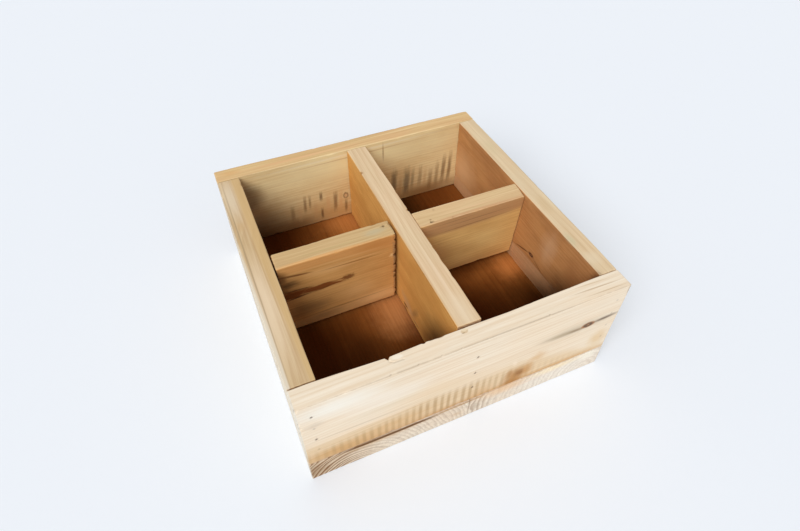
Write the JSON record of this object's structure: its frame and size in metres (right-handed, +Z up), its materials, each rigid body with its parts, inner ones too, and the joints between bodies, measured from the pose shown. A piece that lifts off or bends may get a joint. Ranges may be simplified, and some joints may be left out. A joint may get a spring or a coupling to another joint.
{
  "type": "seed tray",
  "caption": "Low square wooden tray of nailed reclaimed boards, split by a long divider and cross dividers into pot-sized compartments.",
  "frame": {"origin": "middle of the underside, where the tray stands", "axes": "+X along the front board to the right, +Y from the front board to the back board, +Z up"},
  "size_m": [0.25, 0.25, 0.1003],
  "materials": {
    "wall_wood": "worn, planed and rough-sawn, unfinished",
    "divider_wood": "worn, planed and rough-sawn, unfinished",
    "base_wood": "rough-sawn, unfinished",
    "nail_steel": "dull, tarnished"
  },
  "bodies": {
    "root": {"front_board": "wall_wood", "back_board": "wall_wood", "left_board": "wall_wood", "right_board": "wall_wood", "long_divider": "divider_wood", "left_cross_divider": "divider_wood", "right_cross_divider": "divider_wood", "base_board_left": "base_wood", "base_board_right": "base_wood", "front_left_nail_1": "nail_steel", "front_left_nail_2": "nail_steel", "front_left_nail_3": "nail_steel", "front_left_nail_4": "nail_steel", "front_divider_nail_1": "nail_steel", "front_divider_nail_2": "nail_steel", "front_divider_nail_3": "nail_steel", "front_right_nail_1": "nail_steel", "front_right_nail_2": "nail_steel", "front_right_nail_3": "nail_steel", "front_right_nail_4": "nail_steel", "back_left_nail_1": "nail_steel", "back_left_nail_2": "nail_steel", "back_left_nail_3": "nail_steel", "back_left_nail_4": "nail_steel", "back_divider_nail_1": "nail_steel", "back_divider_nail_2": "nail_steel", "back_divider_nail_3": "nail_steel", "back_right_nail_1": "nail_steel", "back_right_nail_2": "nail_steel", "back_right_nail_3": "nail_steel", "back_right_nail_4": "nail_steel", "left_cross_nail_1": "nail_steel", "left_cross_nail_2": "nail_steel", "left_cross_nail_3": "nail_steel", "right_cross_nail_1": "nail_steel", "right_cross_nail_2": "nail_steel", "right_cross_nail_3": "nail_steel", "left_toe_nail": "nail_steel", "right_toe_nail": "nail_steel", "base_left_wall_nail_1": "nail_steel", "base_left_wall_nail_2": "nail_steel", "base_left_wall_nail_3": "nail_steel", "base_left_wall_nail_4": "nail_steel", "base_left_divider_nail_1": "nail_steel", "base_left_divider_nail_2": "nail_steel", "base_left_front_nail_1": "nail_steel", "base_left_front_nail_2": "nail_steel", "base_left_back_nail_1": "nail_steel", "base_left_back_nail_2": "nail_steel", "base_right_wall_nail_1": "nail_steel", "base_right_wall_nail_2": "nail_steel", "base_right_wall_nail_3": "nail_steel", "base_right_wall_nail_4": "nail_steel", "base_right_divider_nail_1": "nail_steel", "base_right_divider_nail_2": "nail_steel", "base_right_front_nail_1": "nail_steel", "base_right_front_nail_2": "nail_steel", "base_right_back_nail_1": "nail_steel", "base_right_back_nail_2": "nail_steel"}
  },
  "joints": []
}
